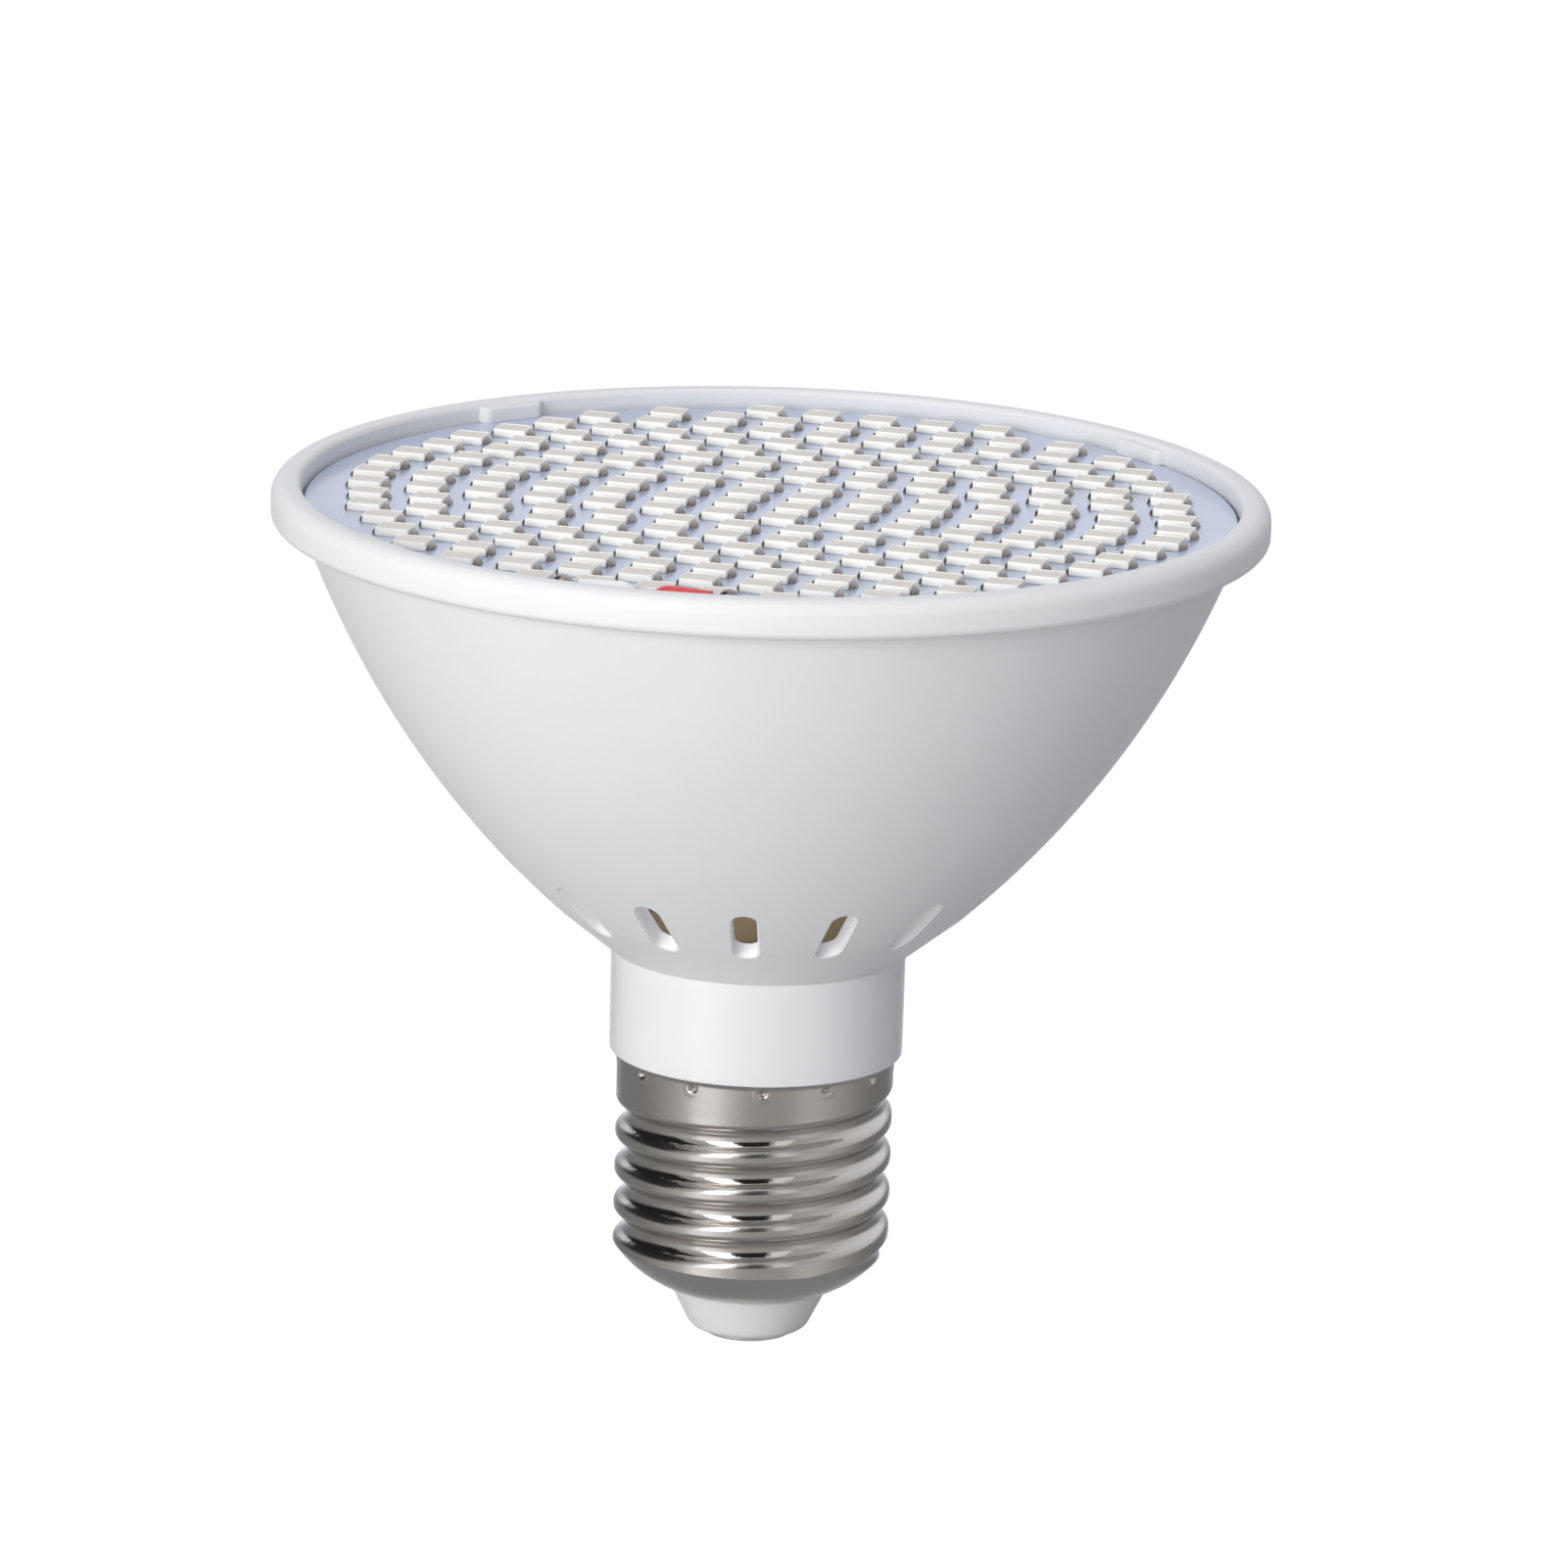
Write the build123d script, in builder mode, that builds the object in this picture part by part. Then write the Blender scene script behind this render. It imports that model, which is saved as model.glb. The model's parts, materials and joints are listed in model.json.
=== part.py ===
"""Reflector-shaped LED grow light bulb with an E27 screw cap, in millimetres.

The origin is on the outer face of the centre contact and +Z runs up the bulb's axis,
from the cap to the lit face. X is to the right and -Y is the front.
"""

import os
from math import atan, cos, degrees, hypot, radians, sin, sqrt

from build123d import *

# Screw cap
cap_height = 28.0
crest_radius = 13.2
thread_pitch = 3.629
thread_arc_radius = 1.025
thread_depth = 1.05
thread_turns = 4
thread_start_drop = 0.09
runout_turns = 0.3
runout_lift = 1.2
crest_flat = 0.03
lip_flare = 0.3
lip_height = 0.6
shell_bore_radius = 11.8
shell_hole_radius = 8.0
shell_hole_z = 4.9
dome_top_z = 8.9
dome_bulge = 0.5
shell_gauge = 0.45

# Insulator and centre contact
insulator_tip_radius = 4.9
insulator_flange_overlap = 0.5
insulator_flange_height = 1.1
insulator_clearance = 0.3
contact_radius = 4.6
contact_thickness = 0.9
contact_edge = 0.35
rivet_radius = 1.0
rivet_head_radius = 1.9
rivet_head_height = 0.4
rivet_clearance = 0.1

# Neck sleeve
neck_height = 10.0
neck_radius = 14.0
neck_draft = 0.05
neck_wall = 1.4
sleeve_clearance = 0.15
sleeve_foot_rise = 0.3
sleeve_bore_radius = 10.4
sleeve_stop_height = 0.8
sleeve_stop_width = 1.0
guide_rib_thickness = 1.0
guide_rib_reach = 1.8

# Housing: bell, rim, ledge, vents and snap tabs
bell_wall = 1.6
bell_height = 41.0
kink_height = 4.75
kink_radius = 19.9
bell_arc_radius = 96.7
spigot_length = 6.0
spigot_clearance = 0.1
spigot_wall = 1.2
rim_height = 3.6
rim_wall = 2.8
rim_flange = 2.2
rim_top_fillet = 1.5
rim_bottom_fillet = 0.8
rim_inner_chamfer = 0.5
ledge_width = 1.7
ledge_depth = 1.1
vent_count = 12
vent_first_angle = -94.0
vent_width = 2.8
vent_length = 8.8
vent_centre_height = 6.6
tab_count = 4
tab_first_angle = 36.0
tab_angle = 9.2
tab_reach = 1.0
tab_lip = 0.5

# Board with the diodes
board_radius = 43.8
board_clearance = 0.3
board_thickness = 1.6
board_recess = 1.8
board_angle = -15.4
notch_side_clearance = 0.25
notch_foot_clearance = 0.2
led_length = 3.5
led_width = 2.8
led_height = 0.8
led_row_pitch = 4.5
led_least_spacing = 5.65
led_notch_clearance = 0.7
# Gap from the last diode of a row to the board's edge, from the middle row outwards
led_edge_gaps = (3.35, 3.65, 4.0, 3.55, 3.95, 3.45, 2.6, 2.5, 2.0)

# Board leads and their solder joints
lead_radius = 0.7
lead_core_radius = 0.3
lead_gap = 0.3
lead_line_inset = 2.5
lead_hump_height = 0.2
pad_offset = 7.8
solder_radius = 1.35
solder_crown_radius = 0.8
solder_height = 1.4
solder_clearance = 0.05
lead_root_offset = 3.0
lead_turn_depth = 2.0
lead_bends = (2.4, 1.5)

# Driver board
driver_thickness = 1.2
driver_edge_gap = 0.2
driver_slot_gap = 0.15
driver_height = 44.0

# Parts on the driver board. A size is width, depth from the board and height, and a
# place is the offset from the axis and the rise of the middle over the board's foot.
part_gap = 0.05
part_chamfer = 0.3
film_capacitor_size = (9.0, 5.0, 8.0)
film_capacitor_place = (0.0, 22.0)
rectifier_size = (4.7, 2.5, 3.9)
rectifier_place = (4.0, 11.0)
chip_size = (4.9, 1.6, 3.9)
chip_place = (0.0, 12.0)
bleed_resistor_size = (1.6, 0.6, 3.2)
bleed_resistor_place = (-5.0, 12.0)
capacitor_radius = 5.0
capacitor_height = 13.0
capacitor_drop = 1.5
fuse_radius = 1.6
fuse_length = 9.0
fuse_place = (-5.0, 10.5)
transformer_width = 10.2
transformer_height = 11.0
transformer_core_depth = 4.8
transformer_limb = 1.25
transformer_leg = 2.4
transformer_rise = 21.0
coil_overhang = 0.8
coil_clearance = 0.1

# Leads of the cap
cap_lead_radius = 0.35
cap_lead_clearance = 0.1
cap_lead_drop = 1.6
shell_lead_root = 5.0

# Heights that follow from the sizes above
neck_top_z = cap_height + neck_height
thread_start_z = dome_top_z - thread_start_drop
sleeve_bottom_z = dome_top_z + sleeve_foot_rise
rim_bottom_z = neck_top_z + bell_height
top_z = rim_bottom_z + rim_height
board_top_z = top_z - board_recess
board_bottom_z = board_top_z - board_thickness
rim_inner_radius = board_radius + board_clearance
rim_radius = rim_inner_radius + rim_wall
bell_top_radius = rim_radius - rim_flange
ledge_radius = rim_inner_radius - ledge_width
lead_line_radius = board_radius - lead_line_inset
notch_inner_radius = lead_line_radius - lead_radius - notch_foot_clearance
notch_width = 2 * (2 * lead_radius + lead_gap / 2 + notch_side_clearance)
driver_bottom_z = sleeve_bottom_z + sleeve_stop_height
driver_top_z = driver_bottom_z + driver_height

os.makedirs("parts", exist_ok=True)


def save(piece, label):
    """Name a finished piece and write it to its own file."""
    piece.part.label = label
    export_step(piece.part, f"parts/{label}.step")


def on_board(x, y, z):
    """Turn a point of the diode board's own frame into the bulb's frame."""
    angle = radians(board_angle)
    return (x * cos(angle) - y * sin(angle), x * sin(angle) + y * cos(angle), z)


def arc_centre(start, end, radius):
    """Centre of the arc that bulges outwards from the axis between two profile points."""
    chord = hypot(end[0] - start[0], end[1] - start[1])
    rise = sqrt(radius**2 - (chord / 2) ** 2)
    across = ((end[0] - start[0]) / chord, (end[1] - start[1]) / chord)
    middle = ((start[0] + end[0]) / 2, (start[1] + end[1]) / 2)
    return (middle[0] - across[1] * rise, middle[1] + across[0] * rise)


# Screw shell: drawn metal cap with a rolled round thread
dome_bottom = (shell_hole_radius, shell_hole_z)
dome_top = (crest_radius - crest_flat, dome_top_z)
dome_inner_bottom = (shell_hole_radius, shell_hole_z + shell_gauge)
dome_inner_top = (shell_bore_radius, dome_top_z + shell_gauge)


def bulged(start, end):
    """Middle point of a gently bulged profile between two points."""
    chord = hypot(end[0] - start[0], end[1] - start[1])
    outward = ((end[1] - start[1]) / chord, -(end[0] - start[0]) / chord)
    return (
        (start[0] + end[0]) / 2 + outward[0] * dome_bulge,
        (start[1] + end[1]) / 2 + outward[1] * dome_bulge,
    )


root_centre = crest_radius - thread_depth + thread_arc_radius
crest_centre = crest_radius - thread_arc_radius
flank_r = (root_centre + crest_centre) / 2
crest_cut = sqrt(thread_arc_radius**2 - (thread_arc_radius - crest_flat) ** 2)
groove_half = thread_pitch / 2 - crest_cut
groove_outer = crest_radius + thread_depth / 2
crest_mid_angle = radians(60)
root_mid_angle = radians(30)


def groove_profile(z):
    """Section of the thread groove at a height: one root arc between two crest arcs."""
    base_r = crest_radius - crest_flat
    with BuildSketch(Plane.XZ) as profile:
        with BuildLine():
            side = {}
            for sign in (-1, 1):
                flank = (flank_r, z + sign * thread_pitch / 4)
                top = (base_r, z + sign * groove_half)
                middle = (
                    crest_centre + thread_arc_radius * sin(crest_mid_angle),
                    z + sign * (thread_pitch / 2 - thread_arc_radius * cos(crest_mid_angle)),
                )
                ThreePointArc(flank, middle, top)
                Line(top, (groove_outer, top[1]))
                side[sign] = (flank, top)
            root = (crest_radius - thread_depth, z)
            for sign in (-1, 1):
                middle = (
                    root_centre - thread_arc_radius * cos(root_mid_angle),
                    z + sign * thread_arc_radius * sin(root_mid_angle),
                )
                ThreePointArc(root, middle, side[sign][0])
            Line((groove_outer, side[-1][1][1]), (groove_outer, side[1][1][1]))
        make_face()
    return profile.sketch


runout_height = thread_pitch * runout_turns
runout_cone = atan(runout_lift / runout_height)
thread_end_z = thread_start_z + thread_pitch * thread_turns


def groove_path(height, cone, pitch):
    """Helix of the groove, which leaves the metal along a cone where cone is not zero."""
    return Helix(pitch, height, crest_radius, cone_angle=degrees(cone), mode=Mode.PRIVATE)


main_path = groove_path(thread_pitch * thread_turns, 0, thread_pitch)
runout_path = groove_path(runout_height, runout_cone, thread_pitch / cos(runout_cone))
upside_down = Location((0, 0, 0), (180, 0, 0))
thread_start = Location((0, 0, thread_start_z))
thread_end = Location((0, 0, thread_end_z))

with BuildPart() as screw_shell:
    with BuildSketch(Plane.XZ):
        with BuildLine():
            ThreePointArc(dome_bottom, bulged(dome_bottom, dome_top), dome_top)
            Polyline(
                dome_top,
                (dome_top[0], cap_height - lip_height),
                (dome_top[0] + lip_flare, cap_height),
                (shell_bore_radius, cap_height),
                dome_inner_top,
                dome_inner_bottom,
                dome_bottom,
            )
        make_face()
    revolve(axis=Axis.Z)
    groove = groove_profile(thread_start_z)
    sweep(groove, path=main_path.moved(thread_start), is_frenet=True, mode=Mode.SUBTRACT)
    sweep(
        groove,
        path=runout_path.moved(thread_start * upside_down),
        is_frenet=True,
        mode=Mode.SUBTRACT,
    )
    sweep(
        groove_profile(thread_end_z),
        path=runout_path.moved(thread_end),
        is_frenet=True,
        mode=Mode.SUBTRACT,
    )
save(screw_shell, "screw_shell")

# Insulator: moulded cone that closes the screw shell and spaces the contact from it
insulator_neck_radius = shell_hole_radius - insulator_clearance
flange_z = shell_hole_z + shell_gauge + insulator_clearance
insulator_top_z = flange_z + insulator_flange_height
flange_radius = insulator_neck_radius + insulator_flange_overlap
with BuildPart() as insulator:
    with BuildSketch(Plane.XZ):
        with BuildLine():
            Polyline(
                (rivet_radius + rivet_clearance, contact_thickness),
                (insulator_tip_radius, contact_thickness),
                (insulator_neck_radius, shell_hole_z),
                (insulator_neck_radius, flange_z),
                (flange_radius, flange_z),
                (flange_radius, insulator_top_z),
                (rivet_radius + rivet_clearance, insulator_top_z),
                close=True,
            )
        make_face()
    revolve(axis=Axis.Z)
save(insulator, "insulator")

# Centre contact: disc riveted through the insulator
rivet_top_z = insulator_top_z + rivet_head_height
with BuildPart() as centre_contact:
    with BuildSketch(Plane.XZ):
        with BuildLine():
            Polyline(
                (0, 0),
                (contact_radius - contact_edge, 0),
                (contact_radius, contact_edge),
                (contact_radius, contact_thickness),
                (rivet_radius, contact_thickness),
                (rivet_radius, insulator_top_z),
                (rivet_head_radius, insulator_top_z),
                (rivet_head_radius, rivet_top_z),
                (0, rivet_top_z),
                close=True,
            )
        make_face()
    revolve(axis=Axis.Z)
save(centre_contact, "centre_contact")

# Neck sleeve: glossy collar with a tail in the screw shell and guides for the driver board
socket_radius = neck_radius - neck_wall
socket_bottom_z = neck_top_z - spigot_length - spigot_clearance
tail_radius = shell_bore_radius - sleeve_clearance
guide_gap = driver_thickness / 2 + driver_slot_gap
with BuildPart() as neck_sleeve:
    with BuildSketch(Plane.XZ):
        with BuildLine():
            Polyline(
                (neck_radius - neck_draft, cap_height),
                (neck_radius, neck_top_z),
                (socket_radius, neck_top_z),
                (socket_radius, socket_bottom_z),
                (sleeve_bore_radius, socket_bottom_z),
                (sleeve_bore_radius, driver_bottom_z),
                (sleeve_bore_radius - sleeve_stop_width, driver_bottom_z),
                (sleeve_bore_radius - sleeve_stop_width, sleeve_bottom_z),
                (tail_radius, sleeve_bottom_z),
                (tail_radius, cap_height),
                close=True,
            )
        make_face()
    revolve(axis=Axis.Z)
    with BuildSketch(Plane.XY.offset(driver_bottom_z)):
        for side in (-1, 1):
            for face in (-1, 1):
                with Locations(
                    (
                        side * (sleeve_bore_radius - guide_rib_reach / 2),
                        face * (guide_gap + guide_rib_thickness / 2),
                    )
                ):
                    Rectangle(guide_rib_reach, guide_rib_thickness)
    extrude(amount=socket_bottom_z - driver_bottom_z)
save(neck_sleeve, "neck_sleeve")

# Housing: bell with a rim, a ledge for the diode board, vents and snap tabs
neck_point = (neck_radius, neck_top_z)
kink_point = (kink_radius, neck_top_z + kink_height)
wall_top_point = (bell_top_radius, rim_bottom_z)
bell_centre = arc_centre(kink_point, wall_top_point, bell_arc_radius)
ledge_bottom_z = board_bottom_z - ledge_depth
spigot_radius = socket_radius - spigot_clearance
spigot_bore = spigot_radius - spigot_wall
inner_arc_radius = bell_arc_radius - bell_wall


def inner_wall(z):
    """Inner profile point of the bell at a height."""
    return (bell_centre[0] + sqrt(inner_arc_radius**2 - (z - bell_centre[1]) ** 2), z)


def outer_wall(z):
    """Outer profile point of the bell at a height."""
    return (bell_centre[0] + sqrt(bell_arc_radius**2 - (z - bell_centre[1]) ** 2), z)


inner_kink = inner_wall(kink_point[1] + bell_wall / 2)
cone_slope = (kink_radius - neck_radius) / kink_height
inner_neck = (spigot_bore, inner_kink[1] - (inner_kink[0] - spigot_bore) / cone_slope)
wall_mid_z = (kink_point[1] + wall_top_point[1]) / 2
vent_z = neck_top_z + vent_centre_height
vent_point = outer_wall(vent_z)
vent_span = hypot(vent_point[0] - bell_centre[0], vent_point[1] - bell_centre[1])
vent_normal = ((vent_point[0] - bell_centre[0]) / vent_span, (vent_point[1] - bell_centre[1]) / vent_span)
vent_plane = Plane(
    origin=(vent_point[0], 0, vent_point[1]),
    x_dir=(0, 1, 0),
    z_dir=(vent_normal[0], 0, vent_normal[1]),
)

with BuildPart() as vent_cutter:
    with BuildSketch(vent_plane):
        SlotOverall(vent_length, vent_width, rotation=90)
    extrude(amount=bell_wall * 2, both=True)


def section_corner(radius, z):
    """Corner of the housing's section nearest to a profile point, looked up when it is used."""
    return housing_section.vertices().sort_by_distance((radius, z))[0]


with BuildPart() as housing:
    with BuildSketch(Plane.XZ) as housing_section:
        with BuildLine():
            Line(neck_point, kink_point)
            ThreePointArc(kink_point, outer_wall(wall_mid_z), wall_top_point)
            Polyline(
                wall_top_point,
                (rim_radius, rim_bottom_z),
                (rim_radius, top_z),
                (rim_inner_radius, top_z),
                (rim_inner_radius, board_bottom_z),
                (ledge_radius, board_bottom_z),
                inner_wall(ledge_bottom_z),
            )
            ThreePointArc(inner_wall(ledge_bottom_z), inner_wall(wall_mid_z), inner_kink)
            Polyline(
                inner_kink,
                inner_neck,
                (spigot_bore, neck_top_z - spigot_length),
                (spigot_radius, neck_top_z - spigot_length),
                (spigot_radius, neck_top_z),
                neck_point,
            )
        make_face()
        fillet(section_corner(rim_radius, top_z), rim_top_fillet)
        chamfer(section_corner(rim_inner_radius, top_z), rim_inner_chamfer)
        fillet(section_corner(rim_radius, rim_bottom_z), rim_bottom_fillet)
    revolve(axis=Axis.Z)
    with PolarLocations(0, vent_count, start_angle=vent_first_angle):
        add(vent_cutter.part, mode=Mode.SUBTRACT)
    with BuildSketch(Plane.XZ) as tab_section:
        with BuildLine():
            Polyline(
                (rim_inner_radius + tab_reach / 2, board_top_z),
                (rim_inner_radius - tab_reach, board_top_z),
                (rim_inner_radius - tab_reach, board_top_z + tab_lip),
                (rim_inner_radius, top_z - rim_inner_chamfer),
                (rim_inner_radius + tab_reach / 2, top_z - rim_inner_chamfer),
                close=True,
            )
        make_face()
    tab = revolve(tab_section.sketch, axis=Axis.Z, revolution_arc=tab_angle, mode=Mode.PRIVATE)
    with PolarLocations(0, tab_count, start_angle=tab_first_angle - tab_angle / 2):
        add(tab)
save(housing, "housing")

# Diode board: aluminium disc with a notch for the two leads
with BuildPart() as led_board:
    with BuildSketch(Plane.XY.offset(board_bottom_z).rotated((0, 0, board_angle))):
        Circle(board_radius)
        with Locations((0, -board_radius)):
            Rectangle(notch_width, 2 * (board_radius - notch_inner_radius), mode=Mode.SUBTRACT)
    extrude(amount=board_thickness)
save(led_board, "led_board")

# Diodes: parallel rows, symmetric about the middle of the board, that end near its edge.
# Only the rows that stay clear of the notch and the leads are there, 18 of them here.
led_places = []
for row, edge_gap in enumerate(led_edge_gaps):
    row_y = (row + 0.5) * led_row_pitch
    row_reach = row_y + led_width / 2
    if row_reach > notch_inner_radius - led_notch_clearance:
        break
    last_x = sqrt((board_radius - edge_gap) ** 2 - row_reach**2) - led_length / 2
    steps = int(2 * last_x / led_least_spacing)
    for side in (-1, 1):
        for index in range(steps + 1):
            led_places.append((last_x * (2 * index / steps - 1), side * row_y))

with BuildPart() as leds:
    with BuildSketch(Plane.XY.offset(board_top_z).rotated((0, 0, board_angle))):
        with Locations(led_places):
            Rectangle(led_length, led_width)
    extrude(amount=led_height)
save(leds, "leds")

# Driver board: stands in the neck between the guides, on the stop at the sleeve's foot
driver_width = 2 * (sleeve_bore_radius - driver_edge_gap)
with BuildPart() as driver_board:
    with BuildSketch(Plane.XY.offset(driver_bottom_z)):
        Rectangle(driver_width, driver_thickness)
    extrude(amount=driver_height)
save(driver_board, "driver_board")

# Board leads: two insulated wires from the driver board to the pads beside the notch
lead_centre_y = -lead_line_radius
lead_side = lead_radius + lead_gap / 2
hump_z = board_top_z + lead_radius + lead_hump_height
lead_end = pad_offset - solder_radius - lead_core_radius
lead_turn_z = board_bottom_z - lead_turn_depth
solder_slope = (solder_radius - solder_crown_radius) / solder_height
solder_side = solder_radius - solder_slope * (lead_radius - lead_core_radius) + solder_clearance


def board_lead(side):
    """Solid of one board lead: round insulation and the bare tip that ends in its joint."""
    route = [
        (side * lead_root_offset, 0, driver_top_z + lead_radius),
        on_board(side * lead_side, lead_centre_y, lead_turn_z),
        on_board(side * lead_side, lead_centre_y, hump_z),
        on_board(side * lead_end, lead_centre_y, hump_z - lead_hump_height),
    ]
    tip_start = route[-1]
    tip_end = on_board(side * pad_offset, lead_centre_y, tip_start[2])
    with BuildPart() as lead:
        with BuildLine() as line:
            FilletPolyline(*route, radius=lead_bends)
        with BuildSketch(Plane(line.line @ 0, z_dir=line.line % 0)):
            Circle(lead_radius)
        sweep()
        with BuildSketch(Plane(tip_start, z_dir=Vector(*tip_end) - Vector(*tip_start))):
            Circle(lead_core_radius)
        extrude(amount=pad_offset - solder_side - lead_end)
    return lead


white_lead = board_lead(-1)
red_lead = board_lead(1)
save(white_lead, "white_lead")
save(red_lead, "red_lead")

# Solder joints: two cones of solder at the bare tips of the leads
with BuildPart() as lead_solder:
    with Locations(*(on_board(side * pad_offset, lead_centre_y, board_top_z) for side in (-1, 1))):
        Cone(
            solder_radius,
            solder_crown_radius,
            solder_height,
            align=(Align.CENTER, Align.CENTER, Align.MIN),
        )
save(lead_solder, "lead_solder")

# Parts on the driver board
front_face = -driver_thickness / 2 - part_gap
back_face = driver_thickness / 2 + part_gap


def boxed_part(label, size, place, side):
    """Box-shaped electronic part that lies flat on one side of the driver board."""
    width, depth, height = size
    offset, rise = place
    face = back_face if side > 0 else front_face
    with BuildPart() as piece:
        with Locations((offset, face + side * depth / 2, driver_bottom_z + rise)):
            Box(width, depth, height)
        outer_face = piece.faces().filter_by(Axis.Y).sort_by(Axis.Y)[-1 if side > 0 else 0]
        chamfer(outer_face.edges(), part_chamfer)
    save(piece, label)


boxed_part("film_capacitor", film_capacitor_size, film_capacitor_place, 1)
boxed_part("bridge_rectifier", rectifier_size, rectifier_place, -1)
boxed_part("driver_chip", chip_size, chip_place, 1)
boxed_part("bleed_resistor", bleed_resistor_size, bleed_resistor_place, 1)

with BuildPart() as electrolytic_capacitor:
    with BuildSketch(Plane.XY.offset(driver_top_z - capacitor_height - capacitor_drop)):
        with Locations((0, back_face + capacitor_radius)):
            Circle(capacitor_radius)
    extrude(amount=capacitor_height)
    chamfer(electrolytic_capacitor.faces().sort_by(Axis.Z)[-1].edges(), part_chamfer)
save(electrolytic_capacitor, "electrolytic_capacitor")

with BuildPart() as fuse_resistor:
    with BuildSketch(Plane.XY.offset(driver_bottom_z + fuse_place[1] - fuse_length / 2)):
        with Locations((fuse_place[0], front_face - fuse_radius)):
            Circle(fuse_radius)
    extrude(amount=fuse_length)
save(fuse_resistor, "fuse_resistor")

# Transformer: core with two windows, and the coil that fills them round the middle leg
window_width = (transformer_width - transformer_leg) / 2 - transformer_limb
window_height = transformer_height - 2 * transformer_limb
window_offset = (transformer_leg + window_width) / 2
coil_depth = transformer_core_depth + 2 * coil_overhang
transformer_plane = Plane(
    origin=(0, front_face, driver_bottom_z + transformer_rise),
    x_dir=(1, 0, 0),
    z_dir=(0, -1, 0),
)
with BuildPart() as transformer_core:
    with BuildSketch(transformer_plane.offset(coil_overhang)):
        Rectangle(transformer_width, transformer_height)
        with Locations((-window_offset, 0), (window_offset, 0)):
            Rectangle(window_width, window_height, mode=Mode.SUBTRACT)
    extrude(amount=transformer_core_depth)
save(transformer_core, "transformer_core")

with BuildPart() as transformer_coil:
    with BuildSketch(transformer_plane):
        Rectangle(
            transformer_leg + 2 * (window_width - coil_clearance),
            window_height - 2 * coil_clearance,
        )
    extrude(amount=coil_depth)
    with Locations(transformer_plane.offset(coil_depth / 2)):
        Box(
            transformer_leg + 2 * coil_clearance,
            window_height,
            transformer_core_depth + 2 * coil_clearance,
            mode=Mode.SUBTRACT,
        )
save(transformer_coil, "transformer_coil")

# Leads of the cap: one to the screw shell and one to the rivet of the contact
lead_foot_z = driver_bottom_z - cap_lead_drop
dome_slope = (shell_bore_radius - shell_hole_radius) / (dome_inner_top[1] - dome_inner_bottom[1])
dome_foot_radius = shell_hole_radius + dome_slope * (lead_foot_z - cap_lead_radius - dome_inner_bottom[1])
shell_lead_reach = dome_foot_radius - cap_lead_clearance
lead_head = Vector(-shell_lead_root, 0, driver_bottom_z - cap_lead_radius - cap_lead_clearance)
lead_foot = Vector(-shell_lead_reach, 0, lead_foot_z)
with BuildPart() as shell_lead:
    with BuildSketch(Plane(lead_head, z_dir=lead_foot - lead_head)):
        Circle(cap_lead_radius)
    extrude(amount=(lead_foot - lead_head).length)
save(shell_lead, "shell_lead")

with BuildPart() as contact_lead:
    with BuildSketch(Plane.XY.offset(rivet_top_z)):
        Circle(cap_lead_radius)
    extrude(amount=driver_bottom_z - rivet_top_z)
save(contact_lead, "contact_lead")
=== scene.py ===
import json
from math import asin, ceil, cos, exp, hypot, pi, radians, sin, sqrt, tan

import bmesh
import bpy
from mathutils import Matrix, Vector


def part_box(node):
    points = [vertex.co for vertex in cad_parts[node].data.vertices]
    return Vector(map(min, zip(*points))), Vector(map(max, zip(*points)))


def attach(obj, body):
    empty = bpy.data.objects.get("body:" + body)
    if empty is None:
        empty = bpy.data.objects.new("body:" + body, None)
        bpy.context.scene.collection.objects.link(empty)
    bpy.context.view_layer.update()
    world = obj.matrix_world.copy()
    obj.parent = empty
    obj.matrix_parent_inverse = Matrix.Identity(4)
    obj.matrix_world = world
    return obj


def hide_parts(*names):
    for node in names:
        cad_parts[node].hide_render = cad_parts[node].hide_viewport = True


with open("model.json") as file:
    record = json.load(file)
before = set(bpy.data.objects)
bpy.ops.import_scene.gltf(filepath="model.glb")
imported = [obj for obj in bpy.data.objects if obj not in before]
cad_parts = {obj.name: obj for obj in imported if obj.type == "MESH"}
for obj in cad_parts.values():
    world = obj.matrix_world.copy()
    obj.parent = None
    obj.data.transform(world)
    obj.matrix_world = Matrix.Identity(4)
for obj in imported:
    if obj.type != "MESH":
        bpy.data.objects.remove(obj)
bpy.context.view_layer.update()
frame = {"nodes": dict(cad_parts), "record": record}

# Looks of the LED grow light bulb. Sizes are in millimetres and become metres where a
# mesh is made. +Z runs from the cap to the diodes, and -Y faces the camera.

MM = 0.001
ROUND_STEPS = 360
MERGE_DISTANCE = 1e-7
SHARP_ANGLE = 32.0


def node_box(node):
    """Lowest and highest corner of a solid, in millimetres."""
    low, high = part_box(node)
    return low / MM, high / MM


# Sizes read from the solids
housing_high = node_box("housing")[1]
sleeve_low, sleeve_high = node_box("neck_sleeve")
board_low, board_high = node_box("led_board")
insulator_high = node_box("insulator")[1]
TOP_Z = housing_high.z
RIM_RADIUS = housing_high.x
NECK_RADIUS = sleeve_high.x
NECK_TAIL_Z = sleeve_low.z
CAP_TOP_Z = node_box("screw_shell")[1].z
BOARD_TOP_Z = board_high.z
BOARD_BOTTOM_Z = board_low.z
INSULATOR_TOP_Z = insulator_high.z
FLANGE_RADIUS = insulator_high.x
RIVET_TOP_Z = node_box("centre_contact")[1].z

# Neck sleeve
NECK_HEIGHT = 10.0
NECK_TOP_Z = CAP_TOP_Z + NECK_HEIGHT
NECK_BORE = 10.4
NECK_WALL = 1.4
NECK_DRAFT = 0.05
NECK_FOOT_ROUND = 0.25
NECK_TOP_ROUND = 0.12
SOCKET_DEPTH = 6.1
TAIL_GAP = 0.15
NECK_STEP = 1.5

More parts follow.
